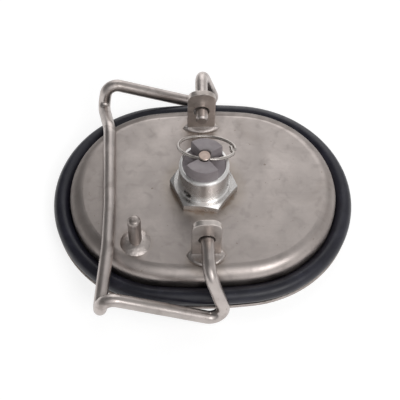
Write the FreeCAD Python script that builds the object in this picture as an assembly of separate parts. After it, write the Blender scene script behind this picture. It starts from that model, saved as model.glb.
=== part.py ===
import FreeCAD, Part
import math
import os

V = FreeCAD.Vector

# Keg lid, millimetres, +Z up, +X along the long axis, -Y towards the front.
# The origin is the middle of the plane that the flange rests on.

# Plan of the lid: a four-arc oval along the centre line of the seal
seal_half_length = 56.5
seal_half_width = 43.8
oval_end_step = 0.7
seal_section_radius = 3.4

# Pressed lid
sheet = 1.6
plateau_height = 14.2
plateau_edge_radius = 5.5
foot_bend_radius = 1.4
flange_overhang = 3.0
flange_edge_round = 0.5
seal_to_wall_gap = 0.05

# Ears that carry the bail
ear_inset = 12.8
ear_sheet = 2.3
ear_width = 11.2
ear_height = 22.2
ear_corner_radius = 4.3
ear_edge_round = 0.4
ear_weld_overhang = 2.5
ear_weld_height = 1.3
ear_weld_crest = 0.7
ear_weld_back_reach = 2.4
ear_weld_sink = 0.6
front_weld_reach = 4.8
rear_weld_reach = 2.3
pivot_above_lid = 11.4
pivot_clearance = 0.7

# Locking bail, bent from round wire, folded back over the left end
wire_radius = 2.5
stub_inside = 4.8
stub_overhang = 3.7
stub_slide = 1.75
stub_splay = 0.5
stub_bend_radius = 6.5
cam_foot_reach = 8.4
cam_foot_drop = 26.3
cam_foot_overhang = 7.5
cam_foot_slide = -0.35
cam_foot_bend_radius = 4.5
arm_end_reach = 38.3
arm_end_drop = 4.4
arm_end_overhang = 5.9
arm_end_slide = -2.0
arm_bend_radius = 4.4
bar_end_reach = 40.6
bar_end_drop = 16.0
bar_end_overhang = 4.9
bar_end_slide = -4.5
bar_bend_radius = 3.8
bar_flat_reach = 37.3
bar_flat_inset = 16.0
bar_flat_slide = -0.75
bar_rise_radius = 12.0
bar_kink_reach = 36.85
bar_kink_offset = -10.5
bar_kink_radius = 40.0
bar_rest_gap = 0.3
wire_end_chamfer = 0.6

# Stop stud with its weld collar
stud_x = -26.8
stud_inset = 18.9
stud_radius = 2.5
stud_height = 17.4
stud_dome_radius = 1.9
stud_neck_radius = 2.2
stud_neck_height = 2.6
stud_weld_radius = 5.9
stud_weld_height = 1.9

# Threaded bush welded into the lid
bush_spigot_radius = 10.0
bush_radius = 12.0
bush_flange_radius = 16.0
bush_flange = 1.5
bush_length = 9.8
bush_fit = 0.05
bush_bore_chamfer = 0.5
bush_weld_leg = 1.4

# Relief valve body
thread_radius = 7.95
thread_clearance = 0.1
shank_length = 11.2
shank_wall = 1.95
shank_chamfer = 0.7
hex_across_flats = 23.2
hex_height = 3.8
hex_turn = -7.3
hex_chamfer = 0.7
barrel_step = 1.85
barrel_height = 12.2
barrel_foot_radius = 0.5
lip_radius = 1.1
lip_wall = 1.3
counterbore_wall = 0.95
cap_ledge = 0.8
cap_bore_depth = 3.0
cap_floor_thickness = 2.9
cap_floor_recess = 0.4
inlet_radius = 2.6
inlet_length = 3.2
seat_land = 0.8
seat_lip_height = 0.8
vent_radius = 1.8
vent_above_hex = 2.1
vent_count = 3
vent_turn = 226.5

# Gasket in the recess under the hexagon
gasket_thread_gap = 0.35
gasket_rim = 0.7
gasket_thickness = 1.4
gasket_side_clearance = 0.1

# Cap with two raised fan sectors
cap_fit = 0.08
cap_edge_gap = 0.05
cap_lip_gap = 0.05
cap_edge_round = 0.3
sector_height = 6.1
sector_lip_gap = 0.05
sector_draft = 0.25
sector_start = 31.0
sector_sweep = 95.5
sector_hub_radius = 2.9

# Stem, poppet and seal
stem_radius = 2.25
stem_fit = 0.1
poppet_fit = 0.05
stem_proud = 0.1
stem_end_round = 0.25
cross_hole_radius = 1.4
cross_hole_below_top = 2.4
stem_turned = -8.3
stem_tail_radius = 1.2
rivet_radius = 1.7
rivet_height = 0.6
seal_disc_radius = 4.6
seal_disc_thickness = 1.8
seal_washer_gap = 0.3
seal_washer_thickness = 0.5
poppet_side_gap = 0.7
poppet_thickness = 2.0
sleeve_radius = 3.0
stem_lift = 3.5

# Spring and the washer above it
spring_mean_radius = 4.3
spring_wire_radius = 0.45
spring_turns = 5.5
spring_section_sides = 8
spring_seat_gap = 0.05
spring_washer_thickness = 0.6
spring_washer_stem_gap = 0.35
spring_washer_side_gap = 0.4

# Pull ring, drooping to the back on the rim of the barrel
ring_radius = 11.1
ring_wire_radius = 0.65
ring_rim_gap = 0.42
ring_start = 4.0
ring_sweep = 334.0
ring_bend_radius = 3.0
ring_end_gap = 0.2
ring_overlap = 16.0

# Levels and offsets that follow from the sizes above
wall_offset = -(seal_section_radius + seal_to_wall_gap)
oval_end_radius = seal_half_width - oval_end_step
seal_level = sheet + seal_section_radius
ceiling = plateau_height - sheet
pivot_height = plateau_height + pivot_above_lid
ear_half_span = seal_half_width - ear_inset
stud_y = stud_inset - seal_half_width
pivot_hole_radius = wire_radius + pivot_clearance
bush_bottom = plateau_height - bush_length
shank_bottom = plateau_height - shank_length
chamber_radius = thread_radius - shank_wall
seat_height = shank_bottom + inlet_length
seat_floor = seat_height - seat_lip_height
hex_top = plateau_height + hex_height
recess_top = plateau_height + gasket_thickness
gasket_inner_radius = thread_radius + gasket_thread_gap
gasket_outer_radius = hex_across_flats / 2 - gasket_rim
recess_inner = gasket_inner_radius - gasket_side_clearance
barrel_radius = hex_across_flats / 2 - barrel_step
barrel_top = hex_top + barrel_height
counterbore_radius = barrel_radius - counterbore_wall
cap_bore_radius = counterbore_radius - cap_ledge
lip_inner_radius = barrel_radius - lip_wall
cap_floor_top = barrel_top - cap_floor_recess
cap_seat = cap_floor_top - cap_floor_thickness
cap_bottom = cap_seat - cap_bore_depth
sector_foot_radius = lip_inner_radius - sector_lip_gap
sector_radius = sector_foot_radius - sector_draft
sector_top = cap_floor_top + sector_height
stem_top = sector_top + stem_proud
cross_hole_height = stem_top - cross_hole_below_top
poppet_radius = chamber_radius - poppet_side_gap
spring_washer_inner_radius = stem_radius + spring_washer_stem_gap
spring_washer_outer_radius = chamber_radius - spring_washer_side_gap
spring_washer_bottom = cap_bottom - spring_washer_thickness
sleeve_top = spring_washer_bottom - stem_lift
poppet_bottom = seat_height + seal_disc_thickness
poppet_top = poppet_bottom + poppet_thickness
seal_washer_bottom = seat_height - seal_washer_thickness
rivet_bottom = seal_washer_bottom - rivet_height
bar_level = plateau_height + wire_radius + bar_rest_gap
side_radius = ((seal_half_length - oval_end_radius) ** 2 + seal_half_width ** 2 - oval_end_radius ** 2) \
    / (2 * (seal_half_width - oval_end_radius))


# Plan outline of the lid at a distance outside the seal's centre line
def oval_wire(offset, level):
    end_x = seal_half_length - oval_end_radius
    side_y = side_radius - seal_half_width
    join = math.atan2(side_y, end_x)
    end_r = oval_end_radius + offset
    side_r = side_radius + offset
    jx = end_x + end_r * math.cos(join)
    jy = end_r * math.sin(join)
    right = Part.Arc(V(jx, -jy, level), V(end_x + end_r, 0, level), V(jx, jy, level))
    back = Part.Arc(V(jx, jy, level), V(0, side_r - side_y, level), V(-jx, jy, level))
    left = Part.Arc(V(-jx, jy, level), V(-end_x - end_r, 0, level), V(-jx, -jy, level))
    front = Part.Arc(V(-jx, -jy, level), V(0, side_y - side_r, level), V(jx, -jy, level))
    return Part.Wire([right.toShape(), back.toShape(), left.toShape(), front.toShape()])


def oval_prism(offset, bottom, top):
    return Part.Face(oval_wire(offset, bottom)).extrude(V(0, 0, top - bottom))


# Edges that lie wholly at one height
def edges_at(shape, level, tolerance=0.001):
    found = []
    for edge in shape.Edges:
        box = edge.BoundBox
        if abs(box.ZMin - level) < tolerance and abs(box.ZMax - level) < tolerance:
            found.append(edge)
    return found


def cylinder(radius, bottom, top, x=0.0, y=0.0):
    return Part.makeCylinder(radius, top - bottom, V(x, y, bottom))


def washer(inner, outer, bottom, top):
    return cylinder(outer, bottom, top).cut(cylinder(inner, bottom, top))


# Solid of revolution about a vertical axis from (radius, height) points
def turned(points, x=0.0, y=0.0):
    corners = [V(x + r, y, z) for r, z in points]
    outline = Part.makePolygon(corners + corners[:1])
    return Part.Face(outline).revolve(V(x, y, 0), V(0, 0, 1), 360)


# Straight runs joined by tangent arcs, one bend radius for each inner point
def rounded_path(points, radii):
    edges = []
    start = points[0]
    for before, corner, after, radius in zip(points, points[1:], points[2:], radii):
        a = (before - corner).normalize()
        b = (after - corner).normalize()
        half = a.getAngle(b) / 2
        reach = radius / math.tan(half)
        enter = corner + a * reach
        leave = corner + b * reach
        middle_direction = (a + b).normalize()
        middle = corner + middle_direction * (radius / math.sin(half) - radius)
        edges.append(Part.LineSegment(start, enter).toShape())
        edges.append(Part.Arc(enter, middle, leave).toShape())
        start = leave
    edges.append(Part.LineSegment(start, points[-1]).toShape())
    return Part.Wire(edges)


# Round bar swept along a path
def round_sweep(path, radius):
    first = path.OrderedEdges[0]
    start = first.valueAt(first.FirstParameter)
    direction = first.tangentAt(first.FirstParameter)
    section = Part.Wire(Part.makeCircle(radius, start, direction))
    return path.makePipeShell([section], True, False)


# Pressed lid: plateau, wall, flange and the hollow underneath
def make_lid_shell():
    raised = oval_prism(wall_offset, 0, plateau_height)
    raised = raised.makeFillet(plateau_edge_radius, edges_at(raised, plateau_height))
    flange = oval_prism(flange_overhang, 0, sheet)
    rounded_edges = edges_at(flange, sheet) + edges_at(flange, 0)
    flange = flange.makeFillet(flange_edge_round, rounded_edges)
    body = raised.fuse(flange).removeSplitter()
    inner_corner = [e for e in edges_at(body, sheet) if e.BoundBox.XMax < seal_half_length
                    and e.BoundBox.YMax < seal_half_width]
    body = body.makeFillet(foot_bend_radius, inner_corner)
    hollow = oval_prism(wall_offset - sheet, -sheet, ceiling)
    hollow = hollow.makeFillet(plateau_edge_radius - sheet, edges_at(hollow, ceiling))
    body = body.cut(hollow)
    mouth = [e for e in edges_at(body, 0) if e.BoundBox.XMax < seal_half_length + wall_offset]
    body = body.makeFillet(foot_bend_radius + sheet, mouth)
    return body.cut(cylinder(bush_spigot_radius + bush_fit, ceiling - sheet, plateau_height + sheet))


def make_seal_ring():
    path = oval_wire(0, seal_level)
    return round_sweep(path, seal_section_radius)


# Plate ear whose back face stands at the given Y, with a rounded top and eased edges
def make_ear(back_y):
    front_y = back_y - ear_sheet
    base = plateau_height
    top = base + ear_height
    plate = Part.makeBox(ear_width, ear_sheet, ear_height, V(-ear_width / 2, front_y, base))
    top_corners = [e for e in edges_at(plate, top) if e.BoundBox.XLength < 0.001]
    plate = plate.makeFillet(ear_corner_radius, top_corners)
    outline = [e for e in plate.Edges if e.BoundBox.YLength < 0.001 and e.BoundBox.ZMax > base + 0.001]
    plate = plate.makeFillet(ear_edge_round, outline)
    hole_start = V(0, back_y + ear_sheet, pivot_height)
    hole = Part.makeCylinder(pivot_hole_radius, 3 * ear_sheet, hole_start, V(0, -1, 0))
    return plate.cut(hole)


# Weld bead round the foot of an ear: two arcs that meet in points beside it, seated on the lid
def make_ear_weld(back_y, reach, ear, lid):
    front_y = back_y - ear_sheet
    half = ear_width / 2 + ear_weld_overhang
    low = plateau_height - ear_weld_sink
    left = V(-half, front_y, low)
    right = V(half, front_y, low)
    front_arc = Part.Arc(left, V(0, front_y - reach, low), right).toShape()
    back_arc = Part.Arc(right, V(0, back_y + ear_weld_back_reach, low), left).toShape()
    outline = Part.Face(Part.Wire([front_arc, back_arc]))
    bead = outline.extrude(V(0, 0, ear_weld_height + ear_weld_sink))
    bead = bead.makeFillet(ear_weld_crest, edges_at(bead, plateau_height + ear_weld_height))
    sole = [f for f in ear.Faces if f.BoundBox.ZMax < plateau_height + 0.001][0]
    return bead.cut(ear).cut(lid).cut(sole.extrude(V(0, 0, -ear_weld_sink)))


# Corners of the bail's centre line from its inner end: side is -1 at the front and 1 at the back.
# A side slide moves both sides of a level the same way, as the used bail is bent.
def bail_corners(side):
    edge = seal_half_width
    foot_level = pivot_height - cam_foot_drop
    arm_level = pivot_height - arm_end_drop
    bar_end_level = pivot_height - bar_end_drop
    return [V(0, side * (ear_half_span - ear_sheet - stub_inside), pivot_height),
            V(stub_splay, side * (edge + stub_overhang) + stub_slide, pivot_height),
            V(cam_foot_reach, side * (edge + cam_foot_overhang) + cam_foot_slide, foot_level),
            V(-arm_end_reach, side * (edge + arm_end_overhang) + arm_end_slide, arm_level),
            V(-bar_end_reach, side * (edge + bar_end_overhang) + bar_end_slide, bar_end_level),
            V(-bar_flat_reach, side * (edge - bar_flat_inset) + bar_flat_slide, bar_level)]


def make_bail_wire():
    kink = V(-bar_kink_reach, bar_kink_offset, bar_level)
    points = bail_corners(-1) + [kink] + bail_corners(1)[::-1]
    bends = [stub_bend_radius, cam_foot_bend_radius, arm_bend_radius, bar_bend_radius, bar_rise_radius]
    wire = round_sweep(rounded_path(points, bends + [bar_kink_radius] + bends[::-1]), wire_radius)
    between_ears = ear_half_span - ear_sheet
    ends = [e for e in wire.Edges if max(-e.BoundBox.YMin, e.BoundBox.YMax) < between_ears]
    return wire.makeChamfer(wire_end_chamfer, ends)


def make_stop_stud():
    base = plateau_height
    top = base + stud_height
    neck_top = base + stud_neck_height
    pin = turned([(0, base), (stud_neck_radius, base), (stud_neck_radius, neck_top),
                  (stud_radius, neck_top + (stud_radius - stud_neck_radius)), (stud_radius, top), (0, top)],
                 stud_x, stud_y)
    return pin.makeFillet(stud_dome_radius, edges_at(pin, top))


# Domed collar: the slice of a ball above the lid, round the neck of the stud
def make_stud_weld(stud):
    ball_radius = (stud_weld_radius ** 2 + stud_weld_height ** 2) / (2 * stud_weld_height)
    centre = V(stud_x, stud_y, plateau_height + stud_weld_height - ball_radius)
    ball = Part.makeSphere(ball_radius, centre)
    ball_top = plateau_height + stud_weld_height
    above = cylinder(2 * stud_weld_radius, plateau_height, ball_top + stud_weld_height, stud_x, stud_y)
    return ball.common(above).cut(stud)


def make_valve_bush():
    bore = thread_radius + thread_clearance
    return turned([(bore, bush_bottom + bush_bore_chamfer), (bore + bush_bore_chamfer, bush_bottom),
                   (bush_radius, bush_bottom), (bush_radius, ceiling - bush_flange),
                   (bush_flange_radius, ceiling - bush_flange), (bush_flange_radius, ceiling),
                   (bush_spigot_radius, ceiling), (bush_spigot_radius, plateau_height),
                   (bore + bush_bore_chamfer, plateau_height), (bore, plateau_height - bush_bore_chamfer)])


# Fillet weld between the edge of the bush flange and the ceiling of the lid
def make_bush_weld():
    edge = bush_flange_radius
    return turned([(edge, ceiling), (edge, ceiling - bush_weld_leg), (edge + bush_weld_leg, ceiling)])


def make_valve_body():
    lip_outer = inlet_radius + seat_land
    inner = [(inlet_radius, shank_bottom), (inlet_radius, seat_height), (lip_outer, seat_height),
             (lip_outer + seat_height - seat_floor, seat_floor), (chamber_radius, seat_floor),
             (chamber_radius, cap_bottom), (cap_bore_radius, cap_bottom), (cap_bore_radius, cap_seat),
             (counterbore_radius, cap_seat), (counterbore_radius, cap_floor_top + cap_lip_gap),
             (lip_inner_radius, cap_floor_top + cap_lip_gap), (lip_inner_radius, barrel_top)]
    outer = [(barrel_radius, barrel_top), (barrel_radius, hex_top + barrel_foot_radius),
             (barrel_radius + barrel_foot_radius, hex_top),
             (barrel_radius + barrel_foot_radius, recess_top), (recess_inner, recess_top),
             (recess_inner, plateau_height), (thread_radius, plateau_height),
             (thread_radius, shank_bottom + shank_chamfer), (thread_radius - shank_chamfer, shank_bottom)]
    core = turned(inner + outer)
    outer_rim = [e for e in edges_at(core, barrel_top) if e.BoundBox.XMax > lip_inner_radius + lip_wall / 2]
    body = core.makeFillet(lip_radius, outer_rim).fuse(make_hexagon())
    for k in range(vent_count):
        turn = math.radians(vent_turn + 360 * k / vent_count)
        outwards = V(math.cos(turn), math.sin(turn), 0)
        start = V(0, 0, hex_top + vent_above_hex) + outwards * sleeve_radius
        vent = Part.makeCylinder(vent_radius, barrel_radius, start, outwards)
        body = body.cut(vent)
    return body.removeSplitter()


# Chamfered hexagon with the gasket recess in its underside and the core's space left open
def make_hexagon():
    corner_radius = hex_across_flats / 2 / math.cos(math.pi / 6)
    corners = []
    for k in range(6):
        turn = math.radians(hex_turn + 60 * k)
        corners.append(V(corner_radius * math.cos(turn), corner_radius * math.sin(turn), plateau_height))
    prism = Part.Face(Part.makePolygon(corners + corners[:1])).extrude(V(0, 0, hex_height))
    flat_radius = hex_across_flats / 2
    slope = (corner_radius - flat_radius) * math.tan(math.radians(30))
    envelope = turned([(0, plateau_height), (corner_radius + hex_chamfer, plateau_height),
                       (corner_radius + hex_chamfer, hex_top - slope - hex_chamfer / 2),
                       (flat_radius, hex_top), (0, hex_top)])
    hexagon = prism.common(envelope)
    recess = cylinder(gasket_outer_radius + gasket_side_clearance, plateau_height, recess_top)
    recess = recess.cut(cylinder(recess_inner, plateau_height, recess_top))
    return hexagon.cut(recess).cut(cylinder(barrel_radius, plateau_height, hex_top))


def make_valve_gasket():
    return washer(gasket_inner_radius, gasket_outer_radius, plateau_height, recess_top)


# One raised fan sector, revolved through its sweep with a drafted outer wall
def make_sector(start):
    low = cap_floor_top - cap_floor_thickness / 2
    corners = [V(sector_hub_radius, 0, low), V(sector_foot_radius, 0, low),
               V(sector_foot_radius, 0, cap_floor_top), V(sector_radius, 0, sector_top),
               V(sector_hub_radius, 0, sector_top)]
    face = Part.Face(Part.makePolygon(corners + corners[:1]))
    face.rotate(V(0, 0, 0), V(0, 0, 1), start)
    return face.revolve(V(0, 0, 0), V(0, 0, 1), sector_sweep)


def make_valve_cap():
    bore = stem_radius + stem_fit
    rim = counterbore_radius - cap_edge_gap
    skirt = cap_bore_radius - cap_fit
    disc = turned([(bore, cap_bottom), (skirt, cap_bottom), (skirt, cap_seat), (rim, cap_seat),
                   (rim, cap_floor_top - cap_edge_round), (rim - cap_edge_round, cap_floor_top),
                   (bore, cap_floor_top)])
    cap = disc.fuse([make_sector(sector_start), make_sector(sector_start + 180)]).removeSplitter()
    return cap.makeFillet(cap_edge_round, edges_at(cap, sector_top))


def make_valve_stem():
    rod = turned([(0, rivet_bottom), (rivet_radius, rivet_bottom), (rivet_radius, seal_washer_bottom),
                  (stem_tail_radius, seal_washer_bottom), (stem_tail_radius, poppet_top),
                  (stem_radius, poppet_top), (stem_radius, stem_top - stem_end_round),
                  (stem_radius - stem_end_round, stem_top), (0, stem_top)])
    hole_start = V(-2 * stem_radius, 0, cross_hole_height)
    hole = Part.makeCylinder(cross_hole_radius, 4 * stem_radius, hole_start, V(1, 0, 0))
    hole.rotate(V(0, 0, 0), V(0, 0, 1), stem_turned)
    return rod.cut(hole)


# Carrier disc with the sleeve that stops against the spring washer
def make_poppet():
    tail_bore = stem_tail_radius + poppet_fit
    sleeve_bore = stem_radius + poppet_fit
    return turned([(tail_bore, poppet_bottom), (poppet_radius, poppet_bottom),
                   (poppet_radius, poppet_top), (sleeve_radius, poppet_top), (sleeve_radius, sleeve_top),
                   (sleeve_bore, sleeve_top), (sleeve_bore, poppet_top), (tail_bore, poppet_top)])


def make_poppet_seal():
    return washer(stem_tail_radius + poppet_fit, seal_disc_radius, seat_height, poppet_bottom)


def make_seal_washer():
    bore = stem_tail_radius + poppet_fit
    return washer(bore, inlet_radius - seal_washer_gap, seal_washer_bottom, seat_height)


def make_spring_washer():
    return washer(spring_washer_inner_radius, spring_washer_outer_radius, spring_washer_bottom, cap_bottom)


# Spring wire with a many-sided section, kept plain because the valve body hides it
def make_valve_spring():
    bottom = poppet_top + spring_seat_gap + spring_wire_radius
    top = spring_washer_bottom - spring_seat_gap - spring_wire_radius
    length = top - bottom
    helix = Part.makeHelix(length / spring_turns, length, spring_mean_radius, 0)
    helix.translate(V(0, 0, bottom))
    first = helix.Edges[0]
    start = first.valueAt(first.FirstParameter)
    along = first.tangentAt(first.FirstParameter)
    outwards = V(1, 0, 0)
    upwards = along.cross(outwards)
    corners = []
    for k in range(spring_section_sides):
        turn = 2 * math.pi * k / spring_section_sides
        corners.append(start + outwards * (spring_wire_radius * math.cos(turn))
                       + upwards * (spring_wire_radius * math.sin(turn)))
    section = Part.makePolygon(corners + corners[:1])
    return Part.Wire(helix).makePipeShell([section], True, True)


def polar(centre, radius, angle):
    return centre + V(radius * math.cos(angle), radius * math.sin(angle), 0)


def arc_about(centre, radius, start, sweep):
    return Part.Arc(polar(centre, radius, start), polar(centre, radius, start + sweep / 2),
                    polar(centre, radius, start + sweep)).toShape()


# Height of the ring's centre line where it crosses above the outer edge of the barrel
def ring_height_at_rim(droop):
    flat = math.cos(droop) ** 2
    share = (barrel_radius / ring_radius) ** 2
    root = math.sqrt(flat ** 2 + (1 - flat) * (1 + flat - share))
    cosine = (root - flat) / (1 - flat)
    return cross_hole_height - ring_radius * (1 - cosine) * math.sin(droop)


# Angle at which the ring lies back on the barrel's rim with the named gap, by halving
def ring_droop():
    target = barrel_top + ring_rim_gap + ring_wire_radius
    low = math.radians(1)
    high = math.radians(89)
    for _ in range(50):
        middle = (low + high) / 2
        if ring_height_at_rim(middle) > target:
            low = middle
        else:
            high = middle
    return math.degrees(low)


# Wire ring through the cross hole; an S-bend draws its closing end inside its start
def make_pull_ring():
    centre = V(0, ring_radius, 0)
    inner_radius = ring_radius - 2 * ring_wire_radius - ring_end_gap
    start = math.radians(ring_start)
    sweep = math.radians(ring_sweep)
    bend = start + sweep
    first_arm = ring_radius - ring_bend_radius
    second_arm = inner_radius + ring_bend_radius
    span = 2 * ring_bend_radius
    drift = math.acos((first_arm ** 2 + second_arm ** 2 - span ** 2) / (2 * first_arm * second_arm))
    second_turn = math.acos((second_arm ** 2 + span ** 2 - first_arm ** 2) / (2 * second_arm * span))
    first_centre = polar(centre, first_arm, bend)
    second_centre = polar(centre, second_arm, bend + drift)
    edges = [arc_about(centre, ring_radius, start, sweep),
             arc_about(first_centre, ring_bend_radius, bend, drift + second_turn),
             arc_about(second_centre, ring_bend_radius, bend + drift + second_turn + math.pi, -second_turn),
             arc_about(centre, inner_radius, bend + drift, math.radians(ring_overlap))]
    ring = round_sweep(Part.Wire(edges), ring_wire_radius)
    ring.rotate(V(0, 0, 0), V(1, 0, 0), -ring_droop())
    ring.rotate(V(0, 0, 0), V(0, 0, 1), stem_turned)
    ring.translate(V(0, 0, cross_hole_height))
    return ring


lid_shell = make_lid_shell()
front_ear_back_y = ear_sheet - ear_half_span
rear_ear_back_y = ear_half_span
bracket_front = make_ear(front_ear_back_y)
bracket_rear = make_ear(rear_ear_back_y)
stop_stud = make_stop_stud()

pieces = {
    "lid_shell": lid_shell,
    "seal_ring": make_seal_ring(),
    "bracket_front": bracket_front,
    "bracket_rear": bracket_rear,
    "weld_front": make_ear_weld(front_ear_back_y, front_weld_reach, bracket_front, lid_shell),
    "weld_rear": make_ear_weld(rear_ear_back_y, rear_weld_reach, bracket_rear, lid_shell),
    "bail_wire": make_bail_wire(),
    "stop_stud": stop_stud,
    "weld_stud": make_stud_weld(stop_stud),
    "valve_bush": make_valve_bush(),
    "weld_bush": make_bush_weld(),
    "valve_body": make_valve_body(),
    "valve_gasket": make_valve_gasket(),
    "valve_cap": make_valve_cap(),
    "valve_stem": make_valve_stem(),
    "poppet": make_poppet(),
    "poppet_seal": make_poppet_seal(),
    "seal_washer": make_seal_washer(),
    "spring_washer": make_spring_washer(),
    "valve_spring": make_valve_spring(),
    "pull_ring": make_pull_ring(),
}

os.makedirs("parts", exist_ok=True)
for name, shape in pieces.items():
    shape.exportStep("parts/" + name + ".step")
    print(name, "solids", len(shape.Solids), "valid", shape.isValid(), "volume", round(shape.Volume, 1))
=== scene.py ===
import math

import bmesh
import bpy
from mathutils import Matrix, Vector


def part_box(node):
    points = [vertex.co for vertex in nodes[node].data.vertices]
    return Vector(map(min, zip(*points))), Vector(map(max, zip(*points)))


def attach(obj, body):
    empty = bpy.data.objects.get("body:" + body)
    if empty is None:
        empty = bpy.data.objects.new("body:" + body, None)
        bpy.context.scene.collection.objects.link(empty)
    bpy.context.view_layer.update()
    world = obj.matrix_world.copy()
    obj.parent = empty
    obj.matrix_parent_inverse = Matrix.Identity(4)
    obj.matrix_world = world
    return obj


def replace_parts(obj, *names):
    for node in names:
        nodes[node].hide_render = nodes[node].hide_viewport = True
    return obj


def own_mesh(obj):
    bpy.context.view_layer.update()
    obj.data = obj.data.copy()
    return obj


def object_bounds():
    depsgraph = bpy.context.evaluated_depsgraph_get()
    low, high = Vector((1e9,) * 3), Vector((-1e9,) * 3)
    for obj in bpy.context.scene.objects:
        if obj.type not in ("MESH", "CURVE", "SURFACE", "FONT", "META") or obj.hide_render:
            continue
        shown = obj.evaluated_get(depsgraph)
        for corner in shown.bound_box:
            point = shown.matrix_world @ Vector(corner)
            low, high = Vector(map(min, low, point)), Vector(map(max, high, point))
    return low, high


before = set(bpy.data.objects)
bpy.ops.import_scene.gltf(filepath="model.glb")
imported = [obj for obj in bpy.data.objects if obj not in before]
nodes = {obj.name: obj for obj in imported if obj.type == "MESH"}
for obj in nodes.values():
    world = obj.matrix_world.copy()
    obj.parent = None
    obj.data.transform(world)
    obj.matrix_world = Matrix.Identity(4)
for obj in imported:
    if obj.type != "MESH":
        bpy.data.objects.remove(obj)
cad_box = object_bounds()

MM = 0.001
TURN = 2.0 * math.pi

# Camera: the photograph's view, with the picture 400 pixels wide
FOCAL_PIXELS = 990.86
PICTURE_PIXELS = 400.0
SENSOR = 36.0
CAMERA_DISTANCE = 400.04 * MM
CAMERA_ELEVATION = 57.486
CAMERA_AZIMUTH = -3.353
CAMERA_ROLL = 1.769
LOOK_AT = Vector((-1.233, -0.277, 5.0)) * MM
CLIP_START = 0.01
CLIP_END = 20.0

# Sizes of the solids that the pieces and the paint here are set against
LID_TOP = 14.2 * MM
CEILING = 12.6 * MM
SEAL_LEVEL = 5.0 * MM
EAR_SPAN = 62.0 * MM
EAR_SHEET = 2.3 * MM
EAR_FRONT_FACE = -EAR_SPAN / 2.0
EAR_REAR_FACE = EAR_SPAN / 2.0 - EAR_SHEET
PIVOT_LEVEL = 25.6 * MM
EAR_WELD_HALF = 8.1 * MM
EAR_WELD_BACK = 2.4 * MM
FRONT_WELD_REACH = 4.8 * MM
REAR_WELD_REACH = 2.3 * MM
STUD = Vector((-26.8, -24.9, 0.0)) * MM
BARREL_TOP = 30.2 * MM
BUSH_FLANGE_RADIUS = 16.0 * MM
SHANK_RADIUS = 7.95 * MM
SHANK_BOTTOM = 3.0 * MM

# Pool of an ear weld
WELD_TRIM = 0.5 * MM
WELD_COLUMNS = 96
WELD_ROWS = 44
WELD_SHOULDER = 1.25 * MM
WELD_CLIMB = 2.2 * MM
WELD_TIP = 2.6 * MM
WELD_TIP_LOW = 0.35
WELD_LOW = 0.80 * MM
WELD_CLIMB_HEIGHT = 0.55 * MM
WELD_RIPPLE_PITCH = 1.15 * MM
WELD_RIPPLE_BOW = 35.0
WELD_RIPPLE_WANDER = 0.9
WELD_RIPPLE = 0.010
WELD_SINK = 0.15 * MM
WELD_ROOT = 0.45 * MM

# Bead of the bush weld
BEAD_RADIUS = 1.3 * MM
BEAD_PITCH = 1.3 * MM
BEAD_SINK = 0.1 * MM
BEAD_STEP = 0.2 * MM
BEAD_SIDES = 14
BEAD_SWELL = 0.13
BEAD_BEAT = 0.25
BEAD_BEAT_RATE = 1.7
BEAD_LEAN = 0.35

# Spring of the valve
SPRING_RADIUS = 4.3 * MM
SPRING_WIRE = 0.45 * MM
SPRING_TURNS = 5.5
SPRING_STEPS_PER_TURN = 48
SPRING_SIDES = 12

# Start of the screw thread
THREAD_PITCH = 1.25 * MM
THREAD_HEIGHT = 0.45 * MM
THREAD_HALF = 0.25 * MM
THREAD_TURNS = 0.70
THREAD_STEPS = 150
THREAD_FADE = 10.0
THREAD_CREST = 0.2
THREAD_SINK = 0.1 * MM

# Floor
FLOOR_HALF = 3.0
FLOOR_GAP = 0.1 * MM
FLOOR_GREY = 0.42
FLOOR_SEEN = 0.74

# Room: each light is a direction, the cosines where its soft edge starts and ends, and its strengths
# at these
ROOM_SIDE = ((0.92, 0.04, 0.08), -0.07, 0.14, 0.20, 0.64)
ROOM_BACK = ((0.10, 0.885, 0.455), 0.82, 0.97, 0.0, 1.42)
ROOM_FRONT = ((0.04, -0.66, 0.750), 0.78, 0.97, 0.0, 0.75)
ROOM_FALL_START = 0.55
ROOM_FALL_END = 0.98
ROOM_TOP = 0.70
HORIZON_START = 0.01
HORIZON_END = 0.09
HORIZON_STRENGTH = 1.0

# Lamp
KEY_PLACE = Vector((0.42, -0.60, 0.62))
KEY_WIDTH = 0.44
KEY_HEIGHT = 0.36
KEY_WATTS = 1.6

WHITE = (1.0, 1.0, 1.0, 1.0)

# Colours of the steels
LID_COLOUR = (0.470, 0.421, 0.399)
WIRE_COLOUR = (0.52, 0.470, 0.447)
EAR_COLOUR = (0.63, 0.576, 0.542)
WELD_COLOUR = (0.50, 0.452, 0.428)
TURNED_DARK = (0.73, 0.710, 0.695)
TURNED_LIGHT = (0.80, 0.780, 0.765)
# Lighter tint for the barrel's lip, a painted highlight
LIP_HIGHLIGHT = (0.84, 0.83, 0.82)
RING_DARK = (0.44, 0.405, 0.38)
RING_LIGHT = (0.54, 0.505, 0.48)
SPRING_DARK = (0.50, 0.48, 0.46)
SPRING_LIGHT = (0.68, 0.66, 0.64)
ROD_DARK = (0.50, 0.46, 0.43)
ROD_LIGHT = (0.66, 0.62, 0.59)
COPPER_DARK = (0.44, 0.350, 0.305)
COPPER_LIGHT = (0.53, 0.425, 0.375)
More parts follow.
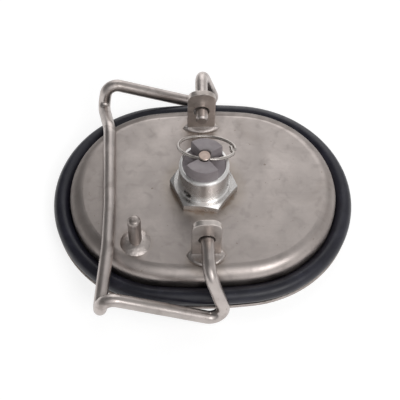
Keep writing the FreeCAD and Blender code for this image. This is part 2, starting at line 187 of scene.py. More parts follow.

# Films, stains and grime on the steels, and the painted shade and shadow on them
BROWN_FILM = (0.23, 0.185, 0.155)
TEA_STAIN = (0.33, 0.27, 0.20)
RUST = (0.24, 0.15, 0.09)
WELD_GHOST = (0.22, 0.19, 0.16)
HEAT_TINT = (0.33, 0.28, 0.24)
TOE_SHADOW = (0.13, 0.10, 0.080)
END_SHADE = (0.20, 0.175, 0.160)
EDGE_SHADE = (0.16, 0.140, 0.128)
CORNER_GRIME = (0.22, 0.18, 0.15)
WIRE_RUB = (0.27, 0.23, 0.205)
STUD_SHADE = (0.19, 0.160, 0.142)
EAR_FILM = (0.22, 0.185, 0.16)
HOLE_SHADE = (0.055, 0.045, 0.038)
TURNED_STAIN = (0.40, 0.35, 0.31)
TURNED_FOOT = (0.34, 0.25, 0.17)

# Colours of the rubber and the plastic
SEAL_BLACK = (0.0100, 0.0100, 0.0185)
SEAL_DUST = (0.022, 0.022, 0.036)
SEAL_SPECK = (0.070, 0.070, 0.085)
SEAL_LINE = (0.05, 0.05, 0.056)
GASKET_DARK = (0.020, 0.019, 0.018)
GASKET_LIGHT = (0.045, 0.042, 0.040)
CAP_DARK = (0.262, 0.230, 0.242)
CAP_LIGHT = (0.322, 0.288, 0.300)
CAP_RUB = (0.36, 0.335, 0.34)
CAP_GRIME = (0.12, 0.105, 0.10)

# Scratches of used steel: angle, scale along and across it, and where the noise is cut off
SCRATCHES = ((0.35, 28.0, 3100.0, 0.66), (1.50, 22.0, 2700.0, 0.67), (2.6, 45.0, 3600.0, 0.69))
SCRATCH_EDGE = 0.06
SCRATCH_WANDER = 0.4
SCRATCH_PATCH = 55.0
SCRATCH_PATCH_CUT = (0.42, 0.62)

# Marks on the lid. A fade is where a mark is full and where it ends, a wander how far noise moves it
STAIN_FADE = (15.0 * MM, 20.5 * MM)
STAIN_WANDER = 4.0 * MM
RUST_FADE = (13.6 * MM, 15.0 * MM)
RUST_WANDER = 3.0 * MM
GHOST_RADIUS = 17.1 * MM
GHOST_HALF = 0.7 * MM
HEAT_SPOTS = ((STUD.x, STUD.y, 6.7 * MM, 9.2 * MM), (0.0, -32.0 * MM, 8.0 * MM, 11.0 * MM),
              (0.0, 29.0 * MM, 8.0 * MM, 11.0 * MM))
HEAT_WANDER = 3.0 * MM
TOE_GAP = 0.25 * MM
TOE_HALF = 0.6 * MM
TOE_PAST_EAR = 0.4 * MM
TOE_DEPTH = 0.3 * MM
TOE_TIPS = (EAR_WELD_HALF - 2.2 * MM, EAR_WELD_HALF - 0.9 * MM)
END_FADE = (-46.0 * MM, -24.0 * MM)
END_WANDER = 8.0 * MM
EDGE_STRAIGHT = 30.0 * MM
EDGE_LEAN = 0.8
EDGE_FRONT = (-28.0 * MM, -10.0 * MM)
EDGE_REAR = (14.0 * MM, 36.0 * MM)
EDGE_FULL = (LID_TOP - 0.60 * MM, LID_TOP - 0.07 * MM)
EDGE_START = LID_TOP - 0.008 * MM
EDGE_SHARE = (0.26, 0.64)
CORNER_FADE = (1.0 * MM, 6.0 * MM)

# Marks on the other pieces
STUD_FADE = (2.8 * MM, 3.3 * MM)
HOLE_FADE = (3.30 * MM, 3.55 * MM)
HOLE_WANDER = 0.3 * MM
FOOT_FADE = (LID_TOP, LID_TOP + 1.6 * MM)
LIP_HEIGHTS = (BARREL_TOP - 1.4 * MM, BARREL_TOP - 0.9 * MM)
LIP_RADII = (7.8 * MM, 8.2 * MM)
COPPER_START = 0.35 * MM
COPPER_FULL = 0.10 * MM
PARTING_FADE = (0.04 * MM, 0.16 * MM)
CAP_RUB_DEPTH = 0.4 * MM
CAP_GRIME_FADE = (2.2 * MM, 5.2 * MM)


# Node graph of one procedural material. Texture places are in metres on the object itself, so the
# scale of a noise is a number of cells to the metre.
class Paint:
    def __init__(self, name, **sockets):
        self.material = bpy.data.materials.new(name)
        self.material.use_nodes = True
        self.tree = self.material.node_tree
        self.bsdf = self.tree.nodes["Principled BSDF"]
        for label, value in sockets.items():
            self.bsdf.inputs[label.replace("_", " ")].default_value = value
        self.place = self.put("ShaderNodeTexCoord", out="Object")

    def put(self, kind, inputs=None, out=0, **settings):
        return put_node(self.tree, kind, inputs or {}, **settings)[out]

    def xyz(self):
        return put_node(self.tree, "ShaderNodeSeparateXYZ", {0: self.place})

    def math(self, operation, a, b=0.0):
        return self.put("ShaderNodeMath", {0: a, 1: b}, operation=operation)

    def plus(self, a, b):
        return self.math("ADD", a, b)

    def times(self, a, b):
        return self.math("MULTIPLY", a, b)

    # How far a value is from a level, on either side
    def off(self, value, level):
        return self.math("ABSOLUTE", self.math("SUBTRACT", value, level))

    def noise(self, scale, detail, distortion=0.0, vector=None):
        return self.put("ShaderNodeTexNoise", {"Vector": vector or self.place, "Scale": scale,
                                               "Detail": detail, "Distortion": distortion})

    def span(self, value, low, high, to_low=0.0, to_high=1.0):
        return self.put("ShaderNodeMapRange", {"Value": value, "From Min": low, "From Max": high,
                                               "To Min": to_low, "To Max": to_high},
                        interpolation_type="SMOOTHSTEP")

    # 1 up to the value inner, fading to 0 at outer
    def inside(self, value, inner, outer):
        return self.span(value, inner, outer, 1.0, 0.0)

    # Patches of noise: to_low where it is under low, to_high where it is over high
    def patches(self, scale, detail, low, high, to_low=0.0, to_high=1.0, distortion=0.0):
        return self.span(self.noise(scale, detail, distortion), low, high, to_low, to_high)

    def mix(self, share, a, b):
        node = self.tree.nodes.new("ShaderNodeMix")
        node.data_type = "RGBA"
        for index, value in ((0, share), (6, a), (7, b)):
            if isinstance(value, bpy.types.NodeSocket):
                self.tree.links.new(value, node.inputs[index])
            else:
                node.inputs[index].default_value = (*value, 1.0)
        return node.outputs[2]

    # A colour over the base where the mask is, as thick there as amount says
    def lay(self, base, mask, amount, colour):
        return self.mix(self.times(mask, amount), base, colour)

    # Distance from a place, along the axes whose keep is 1
    def away(self, place, keep):
        moved = self.put("ShaderNodeVectorMath", {0: self.place, 1: place}, operation="SUBTRACT")
        kept = self.put("ShaderNodeVectorMath", {0: moved, 1: keep}, operation="MULTIPLY")
        return self.put("ShaderNodeVectorMath", {0: kept}, out="Value", operation="LENGTH")

    # Distance from an upright axis through (x, y)
    def radius(self, x=0.0, y=0.0):
        return self.away((x, y, 0.0), (1.0, 1.0, 0.0))

    def bump(self, height, distance, strength, below=None):
        inputs = {"Height": height, "Distance": distance, "Strength": strength}
        if below is not None:
            inputs["Normal"] = below
        return self.put("ShaderNodeBump", inputs)

    def turned(self, scale, angle):
        return self.put("ShaderNodeMapping", {"Vector": self.place, "Scale": scale,
                                              "Rotation": (0.0, 0.0, angle)})

    # Long thin scratches, in patches: stretched noise cut off high
    def scratches(self, angle, along, across, cut):
        lines = self.noise(1.0, 1.0, SCRATCH_WANDER, self.turned((along, across, across), angle))
        patch = self.noise(SCRATCH_PATCH, 1.0, 0.0, self.turned((1.0, 1.0, 1.0), angle + 1.0))
        return self.times(self.span(lines, cut, cut + SCRATCH_EDGE),
                          self.span(patch, *SCRATCH_PATCH_CUT))

    def finish(self, base, shine, normal):
        for label, value in (("Base Color", base), ("Roughness", shine), ("Normal", normal)):
            self.tree.links.new(value, self.bsdf.inputs[label])
        return self.material


# A new node, its inputs linked to a socket or set to a value, by name or number
def put_node(tree, kind, inputs, **settings):
    node = tree.nodes.new(kind)
    for label, value in settings.items():
        setattr(node, label, value)
    for label, value in inputs.items():
        if isinstance(value, bpy.types.NodeSocket):
            tree.links.new(value, node.inputs[label])
        else:
            node.inputs[label].default_value = value
    return node.outputs


def shade(colour, factor):
    return tuple(min(1.0, c * factor) for c in colour)


# Used stainless steel: clouded, blotched, specked, stained, and scratched in several directions
def used_steel(name, colour, rough, mottle):
    p = Paint(name, Metallic=1.0)
    dark = shade(colour, 1.0 - mottle)
    light = shade(colour, 1.0 + mottle * 0.5)
    base = p.mix(p.patches(62.0, 5.0, 0.28, 0.74, distortion=0.8), dark, light)
    blotch = p.patches(210.0, 4.0, 0.50, 0.72, distortion=0.6)
    base = p.lay(base, blotch, 0.40, shade(colour, 0.66))
    base = p.mix(p.patches(900.0, 3.0, 0.35, 0.65, to_high=0.16), base, dark)
    base = p.lay(base, p.patches(520.0, 2.0, 0.70, 0.78), 0.7, BROWN_FILM)
    base = p.lay(base, p.patches(34.0, 5.0, 0.56, 0.80, distortion=1.2), 0.22, BROWN_FILM)
    lines = [p.scratches(*scratch) for scratch in SCRATCHES]
    marks = p.math("MAXIMUM", p.math("MAXIMUM", lines[0], lines[1]), lines[2])
    base = p.lay(base, marks, 0.16, shade(colour, 0.62))
    shine = p.patches(140.0, 3.0, 0.3, 0.7, rough - 0.05, rough + 0.08, distortion=0.5)
    shine = p.plus(shine, p.times(blotch, 0.05))
    normal = p.bump(p.noise(2600.0, 2.0), 0.010 * MM, 0.6)
    normal = p.bump(marks, 0.015 * MM, 0.3, normal)
    normal = p.bump(p.noise(95.0, 1.0), 0.20 * MM, 0.22, normal)
    return p, base, shine, normal


def make_lid_steel():
    p, base, shine, normal = used_steel("lid_steel", LID_COLOUR, 0.38, 0.15)
    x, y, z = p.xyz()
    from_valve = p.radius()
    wave = p.noise(160.0, 3.0)
    # Rust and tea stain round the hexagon, and the faint ring that the weld below has left
    near = p.inside(p.plus(from_valve, p.times(wave, STAIN_WANDER)), *STAIN_FADE)
    base = p.lay(base, near, 0.30, TEA_STAIN)
    rust = p.inside(p.plus(from_valve, p.times(p.noise(420.0, 3.0), RUST_WANDER)), *RUST_FADE)
    base = p.lay(base, rust, 0.45, RUST)
    ring = p.times(p.inside(p.off(from_valve, GHOST_RADIUS), 0.0, GHOST_HALF),
                   p.patches(75.0, 2.0, 0.48, 0.66))
    base = p.lay(base, ring, 0.12, WELD_GHOST)
    # Heat tint and soot round the stud and the feet of the ears
    for spot_x, spot_y, inner, outer in HEAT_SPOTS:
        spot = p.inside(p.plus(p.radius(spot_x, spot_y), p.times(wave, HEAT_WANDER)), inner, outer)
        base = p.lay(base, spot, 0.42, HEAT_TINT)
    # Painted shadow: a dark toe line in front of the ear welds, on the plateau's upper face only
    for face_y, reach in ((EAR_FRONT_FACE, FRONT_WELD_REACH), (EAR_REAR_FACE, REAR_WELD_REACH)):
        bow = arc_radius(EAR_WELD_HALF, reach)
        toe = p.inside(p.off(p.radius(0.0, face_y - reach + bow), bow + TOE_GAP), 0.0, TOE_HALF)
        toe = p.times(toe, p.math("LESS_THAN", y, face_y + TOE_PAST_EAR))
        toe = p.times(toe, p.math("GREATER_THAN", z, LID_TOP - TOE_DEPTH))
        toe = p.times(toe, p.inside(p.math("ABSOLUTE", x), *TOE_TIPS))
        base = p.lay(base, toe, 0.55, TOE_SHADOW)
    # Painted shade: darker towards the end under the handle, where the handle's shadow falls
    end = p.inside(p.plus(x, p.times(wave, END_WANDER)), *END_FADE)
    base = p.lay(base, end, 0.38, END_SHADE)
    # Painted shade on the rounded edge of the plateau, darker and duller to hold down its
    # reflection, most at the rear; its front is left bright
    sideways = p.math("MAXIMUM", p.math("SUBTRACT", p.math("ABSOLUTE", x), EDGE_STRAIGHT), 0.0)
    behind = p.span(p.plus(y, p.times(sideways, EDGE_LEAN)), *EDGE_FRONT)
    full_at = p.span(y, *EDGE_REAR, *EDGE_FULL)
    shaded_edge = p.times(behind, p.inside(z, full_at, EDGE_START))
    base = p.lay(base, shaded_edge, p.span(y, *EDGE_REAR, *EDGE_SHARE), EDGE_SHADE)
    shine = p.plus(shine, p.times(shaded_edge, 0.18))
    # Grime in the corner between wall and flange
    grime = p.times(p.inside(z, *CORNER_FADE), p.span(wave, 0.3, 0.6))
    base = p.lay(base, grime, 0.4, CORNER_GRIME)
    return p.finish(base, shine, p.bump(ring, 0.03 * MM, 0.3, normal))


def make_wire_steel():
    p, base, shine, normal = used_steel("wire_steel", WIRE_COLOUR, 0.34, 0.20)
    base = p.lay(base, p.patches(210.0, 3.0, 0.55, 0.72, distortion=0.8), 0.40, WIRE_RUB)
    # Painted shade on the stud: darker and duller than the bail, to hold down its bright reflections
    stud_shade = p.inside(p.radius(STUD.x, STUD.y), *STUD_FADE)
    base = p.lay(base, stud_shade, 0.45, STUD_SHADE)
    shine = p.plus(shine, p.times(stud_shade, 0.06))
    return p.finish(base, shine, normal)


def make_ear_steel():
    p, base, shine, normal = used_steel("ear_steel", EAR_COLOUR, 0.36, 0.20)
    base = p.lay(base, p.patches(250.0, 3.0, 0.5, 0.7), 0.3, EAR_FILM)
    # Painted shade in the hole that the bail turns in, and a little way out of it, where it is also
    # rougher
    from_pivot = p.away((0.0, 0.0, PIVOT_LEVEL), (1.0, 0.0, 1.0))
    hole_shade = p.inside(p.plus(from_pivot, p.times(p.noise(700.0, 2.0), HOLE_WANDER)), *HOLE_FADE)
    base = p.lay(base, hole_shade, 0.72, HOLE_SHADE)
    shine = p.plus(shine, p.times(hole_shade, 0.20))
    return p.finish(base, shine, normal)


def make_weld_steel():
    p, base, shine, normal = used_steel("weld_steel", WELD_COLOUR, 0.36, 0.22)
    return p.finish(base, shine, p.bump(p.noise(650.0, 2.0, 1.5), 0.3 * MM, 0.45, normal))


# Turned steel: bright, with fine rings that draw highlights out along the axis
def make_machined_steel():
    p = Paint("machined_steel", Metallic=1.0, Anisotropic=0.75, Anisotropic_Rotation=0.25)
    tangent = p.put("ShaderNodeTangent", direction_type="RADIAL", axis="Z")
    p.tree.links.new(tangent, p.bsdf.inputs["Tangent"])
    z = p.xyz()["Z"]
    base = p.mix(p.patches(120.0, 4.0, 0.3, 0.7, distortion=0.5), TURNED_DARK, TURNED_LIGHT)
    base = p.lay(base, p.patches(260.0, 3.0, 0.62, 0.80, distortion=1.0), 0.10, TURNED_STAIN)
    foot = p.times(p.inside(z, *FOOT_FADE), p.patches(300.0, 2.0, 0.35, 0.6))
    base = p.lay(base, foot, 0.5, TURNED_FOOT)
    # Painted highlight: a lighter, rougher band on the lip of the barrel
    lip_highlight = p.times(p.span(z, *LIP_HEIGHTS), p.span(p.radius(), *LIP_RADII))
    base = p.lay(base, lip_highlight, 0.6, LIP_HIGHLIGHT)
    shine = p.plus(p.patches(180.0, 3.0, 0.3, 0.7, 0.25, 0.30), p.times(lip_highlight, 0.16))
    grooves = p.put("ShaderNodeTexNoise", {"W": z, "Scale": 5200.0, "Detail": 2.0},
                    noise_dimensions="1D")
    normal = p.bump(grooves, 0.005 * MM, 0.4)
    normal = p.bump(p.scratches(0.9, 60.0, 3600.0, 0.70), 0.010 * MM, 0.25, normal)
    return p.finish(base, shine, normal)


def make_ring_steel():
    p = Paint("ring_steel", Metallic=1.0)
    base = p.mix(p.patches(300.0, 3.0, 0.35, 0.7), RING_DARK, RING_LIGHT)
    shine = p.patches(300.0, 2.0, 0.3, 0.7, 0.26, 0.33)
    return p.finish(base, shine, p.bump(p.noise(1800.0, 2.0), 0.004 * MM, 0.4))


def make_spring_steel():
    p = Paint("spring_steel", Metallic=1.0)
    base = p.mix(p.patches(500.0, 3.0, 0.3, 0.7), SPRING_DARK, SPRING_LIGHT)
    shine = p.patches(900.0, 2.0, 0.3, 0.7, 0.22, 0.34)
    return p.finish(base, shine, p.bump(p.noise(5000.0, 1.0), 0.006 * MM, 0.5))


# Stem: pale metal with a warm, copper-tinted end face
def make_stem_metal():
    p = Paint("stem_metal", Metallic=1.0)
    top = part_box("valve_stem")[1].z
    cloud = p.patches(700.0, 3.0, 0.3, 0.7)
    end = p.span(p.xyz()["Z"], top - COPPER_START, top - COPPER_FULL)
    base = p.mix(end, p.mix(cloud, ROD_DARK, ROD_LIGHT), p.mix(cloud, COPPER_DARK, COPPER_LIGHT))
    shine = p.patches(800.0, 3.0, 0.3, 0.7, 0.30, 0.44)
    rings = p.put("ShaderNodeTexWave", {"Vector": p.place, "Scale": 900.0, "Distortion": 1.5},
                  out=1, wave_type="RINGS", rings_direction="Z")
    normal = p.bump(rings, 0.015 * MM, 0.4)
    return p.finish(base, shine, p.bump(p.noise(2200.0, 2.0), 0.020 * MM, 0.5, normal))


# Black rubber, dusty, with the mould's parting line round the section's middle
def make_seal_rubber():
    p = Paint("seal_rubber", Metallic=0.0, IOR=1.47, Specular_IOR_Level=0.50)
    base = p.mix(p.patches(120.0, 5.0, 0.45, 0.80, distortion=0.8), SEAL_BLACK, SEAL_DUST)
    base = p.lay(base, p.patches(1500.0, 2.0, 0.66, 0.80), 0.5, SEAL_SPECK)
    line = p.inside(p.off(p.xyz()["Z"], SEAL_LEVEL), *PARTING_FADE)
    base = p.lay(base, line, 0.4, SEAL_LINE)
    shine = p.patches(210.0, 3.0, 0.3, 0.7, 0.31, 0.43)
    normal = p.bump(p.noise(2300.0, 3.0), 0.02 * MM, 0.5)
    normal = p.bump(line, 0.08 * MM, 0.8, normal)
    return p.finish(base, shine, p.bump(p.noise(130.0, 2.0), 0.3 * MM, 0.25, normal))


def make_gasket_rubber():
    p = Paint("gasket_rubber", Metallic=0.0, IOR=1.5)
    base = p.mix(p.patches(500.0, 3.0, 0.3, 0.7), GASKET_DARK, GASKET_LIGHT)
    shine = p.patches(900.0, 2.0, 0.3, 0.7, 0.5, 0.68)
    return p.finish(base, shine, p.bump(p.noise(3000.0, 3.0), 0.03 * MM, 0.6))


# Moulded grey plastic with a satin grain, paler where fingers have rubbed the upper edges
def make_cap_plastic():
    p = Paint("cap_plastic", Metallic=0.0, IOR=1.49)
    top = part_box("valve_cap")[1].z
    base = p.mix(p.patches(260.0, 4.0, 0.3, 0.75), CAP_DARK, CAP_LIGHT)
    rub = p.times(p.span(p.xyz()["Z"], top - CAP_RUB_DEPTH, top), p.patches(420.0, 3.0, 0.45, 0.7))
    base = p.lay(base, rub, 0.35, CAP_RUB)
    grime = p.times(p.inside(p.radius(), *CAP_GRIME_FADE), p.patches(600.0, 3.0, 0.3, 0.6))
    base = p.lay(base, grime, 0.5, CAP_GRIME)
    shine = p.patches(500.0, 3.0, 0.3, 0.7, 0.42, 0.56)
    normal = p.bump(p.noise(3800.0, 3.0), 0.02 * MM, 0.55)
    normal = p.bump(p.scratches(0.5, 70.0, 4200.0, 0.70), 0.03 * MM, 0.4, normal)
    return p.finish(base, shine, normal)


# Radius of an arc that stands reach off its chord, which spans -half to half
def arc_radius(half, reach):
    return (half * half + reach * reach) / (2.0 * reach)


# Distance of that arc from its chord at x
def arc_height(x, half, reach):
    radius = arc_radius(half, reach)
    return max(0.0, math.sqrt(max(0.0, radius * radius - x * x)) - (radius - reach))


paints = {
    "lid_steel": make_lid_steel(),
    "wire_steel": make_wire_steel(),
    "ear_steel": make_ear_steel(),
    "weld_steel": make_weld_steel(),
    "machined_steel": make_machined_steel(),
    "ring_steel": make_ring_steel(),
    "spring_steel": make_spring_steel(),
    "stem_metal": make_stem_metal(),
    "seal_rubber": make_seal_rubber(),
    "gasket_rubber": make_gasket_rubber(),
    "cap_plastic": make_cap_plastic(),
}

finish_of = {
    "lid_shell": "lid_steel", "seal_ring": "seal_rubber", "bracket_front": "ear_steel",
    "bracket_rear": "ear_steel", "weld_front": "weld_steel", "weld_rear": "weld_steel",
    "bail_wire": "wire_steel", "stop_stud": "wire_steel", "weld_stud": "weld_steel",
    "valve_bush": "machined_steel", "weld_bush": "weld_steel", "valve_body": "machined_steel",
    "valve_gasket": "gasket_rubber", "valve_cap": "cap_plastic", "valve_stem": "stem_metal",
    "poppet": "machined_steel", "poppet_seal": "gasket_rubber", "seal_washer": "machined_steel",
    "spring_washer": "spring_steel", "valve_spring": "spring_steel", "pull_ring": "ring_steel",
}

for name, obj in nodes.items():
    obj.data.materials.clear()
    obj.data.materials.append(paints[finish_of[name]])


# A piece that rides on the lid, in the finish of the slot it is named for
def new_piece(name, bm, slot):
    mesh = bpy.data.meshes.new(name)
    bmesh.ops.recalc_face_normals(bm, faces=bm.faces)
    bm.to_mesh(mesh)
    bm.free()
    for face in mesh.polygons:
        face.use_smooth = True
    mesh.materials.append(paints[slot])
    obj = bpy.data.objects.new(name, mesh)
    bpy.context.scene.collection.objects.link(obj)
    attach(obj, "lid")
    return obj


# Faces between two rings of points, which close on themselves
def join_rings(bm, a, b):
    for k in range(len(a)):
        n = (k + 1) % len(a)
        bm.faces.new((a[k], a[n], b[n], b[k]))


def outwards_at(angle):
    return Vector((math.cos(angle), math.sin(angle), 0.0))


# Weld round the foot of an ear: a rippled pool between two arcs, highest against the plate
def ear_weld(name, node, front_y, reach):
    back_y = front_y + EAR_SHEET
    half = EAR_WELD_HALF - WELD_TRIM
    bm = bmesh.new()
    grid = []
    for i in range(WELD_COLUMNS + 1):
        x = -half * math.cos(math.pi * i / WELD_COLUMNS)
        low = front_y - arc_height(x, half, reach)
        high = front_y + arc_height(x, half, EAR_SHEET + EAR_WELD_BACK)
        tip = min(1.0, (half - abs(x)) / WELD_TIP)
        column = []
        for j in range(WELD_ROWS + 1):
            y = low + (high - low) * (0.5 - 0.5 * math.cos(math.pi * j / WELD_ROWS))
            edge = min(y - low, high - y, WELD_SHOULDER) / WELD_SHOULDER
            crown = math.sqrt(max(0.0, 1.0 - (1.0 - edge) ** 2))
            near = max(0.0, 1.0 - max(0.0, front_y - y, y - back_y) / WELD_CLIMB)
            height = (WELD_LOW + WELD_CLIMB_HEIGHT * near ** 2) * crown
            height *= WELD_TIP_LOW + (1.0 - WELD_TIP_LOW) * math.sqrt(tip)
            phase = TURN * (x + WELD_RIPPLE_BOW * (y - front_y) ** 2) / WELD_RIPPLE_PITCH
            height *= 1.0 + WELD_RIPPLE * math.sin(phase + math.sin(x / MM) * WELD_RIPPLE_WANDER)
            column.append(bm.verts.new((x, y, LID_TOP - WELD_SINK + height)))
        grid.append(column)
    for a, b in zip(grid, grid[1:]):
        for j in range(WELD_ROWS):
            bm.faces.new((a[j], a[j + 1], b[j + 1], b[j]))
    rim = [column[0] for column in grid] + [column[-1] for column in grid[-2:0:-1]]
    root = [bm.verts.new((v.co.x, v.co.y, LID_TOP - WELD_ROOT)) for v in rim]
    join_rings(bm, rim, root)
    bm.faces.new(root)
    bmesh.ops.remove_doubles(bm, verts=bm.verts, dist=0.001 * MM)
    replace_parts(new_piece(name, bm, "weld_steel"), node)


# Weld bead round the bush: a tube whose section swells and leans once a ripple
def bush_weld():
    radius = BUSH_FLANGE_RADIUS
    count = int(TURN * radius / BEAD_STEP)
    centre = Vector((0.0, 0.0, CEILING - BEAD_SINK))
    path = [centre + outwards_at(TURN * k / count) * radius for k in range(count)]
    bm = bmesh.new()
    rings = []
    along = 0.0
    for i, point in enumerate(path):
        before = path[i - 1]
        tangent = (path[(i + 1) % count] - before).normalized()
        across = tangent.cross(Vector((0.0, 0.0, 1.0))).normalized()
        up = across.cross(tangent).normalized()
        along += (point - before).length
        phase = (along / BEAD_PITCH) % 1.0
        beat = 1.0 - BEAD_BEAT + BEAD_BEAT * math.sin(along / BEAD_PITCH * BEAD_BEAT_RATE)
        size = BEAD_RADIUS * (1.0 + BEAD_SWELL * (1.0 - 2.0 * phase) * beat)
        ring = []
        for k in range(BEAD_SIDES):
            a = TURN * k / BEAD_SIDES
            lean = tangent * (BEAD_LEAN * size * math.cos(a) ** 2)
            ring.append(bm.verts.new(point + across * (size * math.cos(a))
                                     + up * (size * math.sin(a)) + lean))
        rings.append(ring)
    for i in range(count):
        join_rings(bm, rings[i], rings[(i + 1) % count])
    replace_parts(new_piece("weld_bead_bush", bm, "weld_steel"), "weld_bush")


# Compression spring with closed ends
def valve_spring():
    low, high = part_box("valve_spring")
    bottom, top = low.z + SPRING_WIRE, high.z - SPRING_WIRE
    steps = int(SPRING_TURNS * SPRING_STEPS_PER_TURN)
    closed = 2.0 * SPRING_WIRE
    bm = bmesh.new()
    rings = []
    for i in range(steps + 1):
        turn = SPRING_TURNS * i / steps
        rise = min(turn, 1.0) * closed + max(0.0, turn - SPRING_TURNS + 1.0) * closed
        middle = min(max(turn - 1.0, 0.0), SPRING_TURNS - 2.0) / (SPRING_TURNS - 2.0)
        z = bottom + rise + middle * (top - bottom - 2.0 * closed)
        out = outwards_at(TURN * turn)
        ring = []
        for k in range(SPRING_SIDES):
            a = TURN * k / SPRING_SIDES
            ring.append(bm.verts.new(out * (SPRING_RADIUS + SPRING_WIRE * math.cos(a))
                                     + Vector((0.0, 0.0, z + SPRING_WIRE * math.sin(a)))))
        rings.append(ring)
    for a, b in zip(rings, rings[1:]):
        join_rings(bm, a, b)
    bm.faces.new(rings[0])
    bm.faces.new(rings[-1])
    obj = new_piece("relief_spring", bm, "spring_steel")
    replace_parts(obj, "valve_spring")
    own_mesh(obj)


# Start of the screw thread, on the end of the shank that shows under its bush
def shank_thread():
    bm = bmesh.new()
    rings = []
    for i in range(THREAD_STEPS + 1):
        fade = min(1.0, THREAD_FADE * i / THREAD_STEPS,
                   THREAD_FADE * (THREAD_STEPS - i) / THREAD_STEPS)
        z = SHANK_BOTTOM + THREAD_HALF + THREAD_PITCH * THREAD_TURNS * i / THREAD_STEPS
        out = outwards_at(TURN * THREAD_TURNS * i / THREAD_STEPS)
        foot = SHANK_RADIUS - THREAD_SINK
        crest = SHANK_RADIUS + THREAD_HEIGHT * fade
        profile = ((foot, -1.0), (crest, -THREAD_CREST), (crest, THREAD_CREST), (foot, 1.0))
        rings.append([bm.verts.new(out * r + Vector((0.0, 0.0, z + rise * THREAD_HALF)))
                      for r, rise in profile])
    for a, b in zip(rings, rings[1:]):
        join_rings(bm, a, b)
    bm.faces.new(rings[0])
    bm.faces.new(rings[-1])
    new_piece("thread_start", bm, "machined_steel")


def make_camera():
    a = math.radians(CAMERA_AZIMUTH)
    e = math.radians(CAMERA_ELEVATION)
    r = math.radians(CAMERA_ROLL)
    back = Vector((math.sin(a) * math.cos(e), -math.cos(a) * math.cos(e), math.sin(e)))
    level = (-back).cross(Vector((0.0, 0.0, 1.0))).normalized()
    upright = level.cross(-back).normalized()
    right = level * math.cos(r) + upright * math.sin(r)
    up = upright * math.cos(r) - level * math.sin(r)
    place = LOOK_AT + back * CAMERA_DISTANCE
    data = bpy.data.cameras.new("camera")
    data.sensor_width = SENSOR
    data.lens = FOCAL_PIXELS / PICTURE_PIXELS * SENSOR
    data.clip_start = CLIP_START
    data.clip_end = CLIP_END
    camera = bpy.data.objects.new("camera", data)
    bpy.context.scene.collection.objects.link(camera)
    camera.matrix_world = Matrix(((right.x, up.x, back.x, place.x), (right.y, up.y, back.y, place.y),
                                  (right.z, up.z, back.z, place.z), (0.0, 0.0, 0.0, 1.0)))
    bpy.context.scene.camera = camera


# A strength that only camera, glossy and transmission rays see
def seen_directly(tree, strength):
    path = put_node(tree, "ShaderNodeLightPath", {})
    seen = path["Is Camera Ray"]
    for ray in ("Is Glossy Ray", "Is Transmission Ray"):
        seen = put_node(tree, "ShaderNodeMath", {0: seen, 1: path[ray]}, operation="MAXIMUM")[0]
    return put_node(tree, "ShaderNodeMath", {0: seen, 1: strength}, operation="MULTIPLY")[0]


# White floor just under the part. From below it is clear, so that the underside can be looked at
def make_floor():
    level = cad_box[0][2] - FLOOR_GAP
    bm = bmesh.new()
    bm.faces.new([bm.verts.new((x * FLOOR_HALF, y * FLOOR_HALF, level))
                  for x, y in ((-1, -1), (1, -1), (1, 1), (-1, 1))])
    mesh = bpy.data.meshes.new("floor")
    bm.to_mesh(mesh)
    bm.free()
    material = bpy.data.materials.new("floor_white")
    material.use_nodes = True
    tree = material.node_tree
    tree.nodes.clear()
    grey = (FLOOR_GREY, FLOOR_GREY, FLOOR_GREY, 1.0)
    matt = put_node(tree, "ShaderNodeBsdfDiffuse", {"Color": grey})[0]
    seen = seen_directly(tree, FLOOR_SEEN)
    glow = put_node(tree, "ShaderNodeEmission", {"Color": WHITE, "Strength": seen})[0]
    above = put_node(tree, "ShaderNodeAddShader", {0: matt, 1: glow})[0]
    below = put_node(tree, "ShaderNodeBsdfTransparent", {})[0]
    side = put_node(tree, "ShaderNodeNewGeometry", {})["Backfacing"]
    surface = put_node(tree, "ShaderNodeMixShader", {0: side, 1: above, 2: below})[0]
    put_node(tree, "ShaderNodeOutputMaterial", {"Surface": surface})
    mesh.materials.append(material)
    floor = bpy.data.objects.new("floor", mesh)
    bpy.context.scene.collection.objects.link(floor)


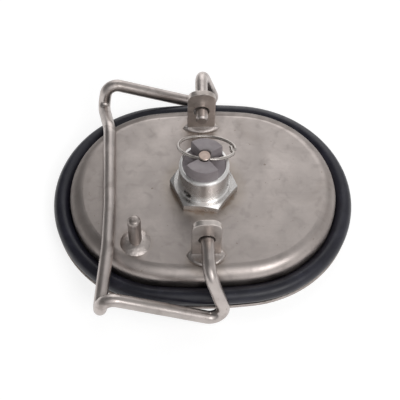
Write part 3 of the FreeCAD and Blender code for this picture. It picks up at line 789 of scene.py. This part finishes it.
# Soft room, the same for every kind of ray: white at the horizon, and above it dim on the left and
# overhead, with one soft panel behind the part and one in front of it
def make_world():
    world = bpy.data.worlds.new("room")
    bpy.context.scene.world = world
    world.use_nodes = True
    tree = world.node_tree
    tree.nodes.clear()
    place = put_node(tree, "ShaderNodeTexCoord", {})["Generated"]
    height = put_node(tree, "ShaderNodeSeparateXYZ", {0: place})["Z"]

    def light(direction, start, end, low, high):
        facing = put_node(tree, "ShaderNodeVectorMath", {0: place, 1: direction},
                          operation="DOT_PRODUCT")
        return put_node(tree, "ShaderNodeMapRange",
                        {"Value": facing["Value"], "From Min": start, "From Max": end, "To Min": low,
                         "To Max": high}, interpolation_type="SMOOTHSTEP")[0]

    def join(operation, a, b):
        return put_node(tree, "ShaderNodeMath", {0: a, 1: b}, operation=operation)[0]

    fall = put_node(tree, "ShaderNodeMapRange", {"Value": height, "From Min": ROOM_FALL_START,
                                                 "From Max": ROOM_FALL_END, "To Min": 1.0,
                                                 "To Max": ROOM_TOP})[0]
    room = join("MULTIPLY", light(*ROOM_SIDE), fall)
    room = join("ADD", room, light(*ROOM_BACK))
    room = join("ADD", room, light(*ROOM_FRONT))
    rise = put_node(tree, "ShaderNodeMapRange", {"Value": height, "From Min": HORIZON_START,
                                                 "From Max": HORIZON_END},
                    interpolation_type="SMOOTHSTEP")[0]
    strength = put_node(tree, "ShaderNodeMix", {0: rise, 2: HORIZON_STRENGTH, 3: room})[0]
    shine = put_node(tree, "ShaderNodeBackground", {"Color": WHITE, "Strength": strength})[0]
    put_node(tree, "ShaderNodeOutputWorld", {"Surface": shine})


def make_lamp():
    data = bpy.data.lights.new("key", "AREA")
    data.shape = "RECTANGLE"
    data.size = KEY_WIDTH
    data.size_y = KEY_HEIGHT
    data.energy = KEY_WATTS
    lamp = bpy.data.objects.new("key", data)
    bpy.context.scene.collection.objects.link(lamp)
    towards_part = KEY_PLACE.to_track_quat("Z", "Y").to_matrix().to_4x4()
    lamp.matrix_world = Matrix.Translation(KEY_PLACE) @ towards_part


ear_weld("weld_bead_front", "weld_front", EAR_FRONT_FACE, FRONT_WELD_REACH)
ear_weld("weld_bead_rear", "weld_rear", EAR_REAR_FACE, REAR_WELD_REACH)
bush_weld()
valve_spring()
shank_thread()

make_camera()
make_floor()
make_world()
make_lamp()
bpy.context.scene.view_settings.view_transform = "Standard"
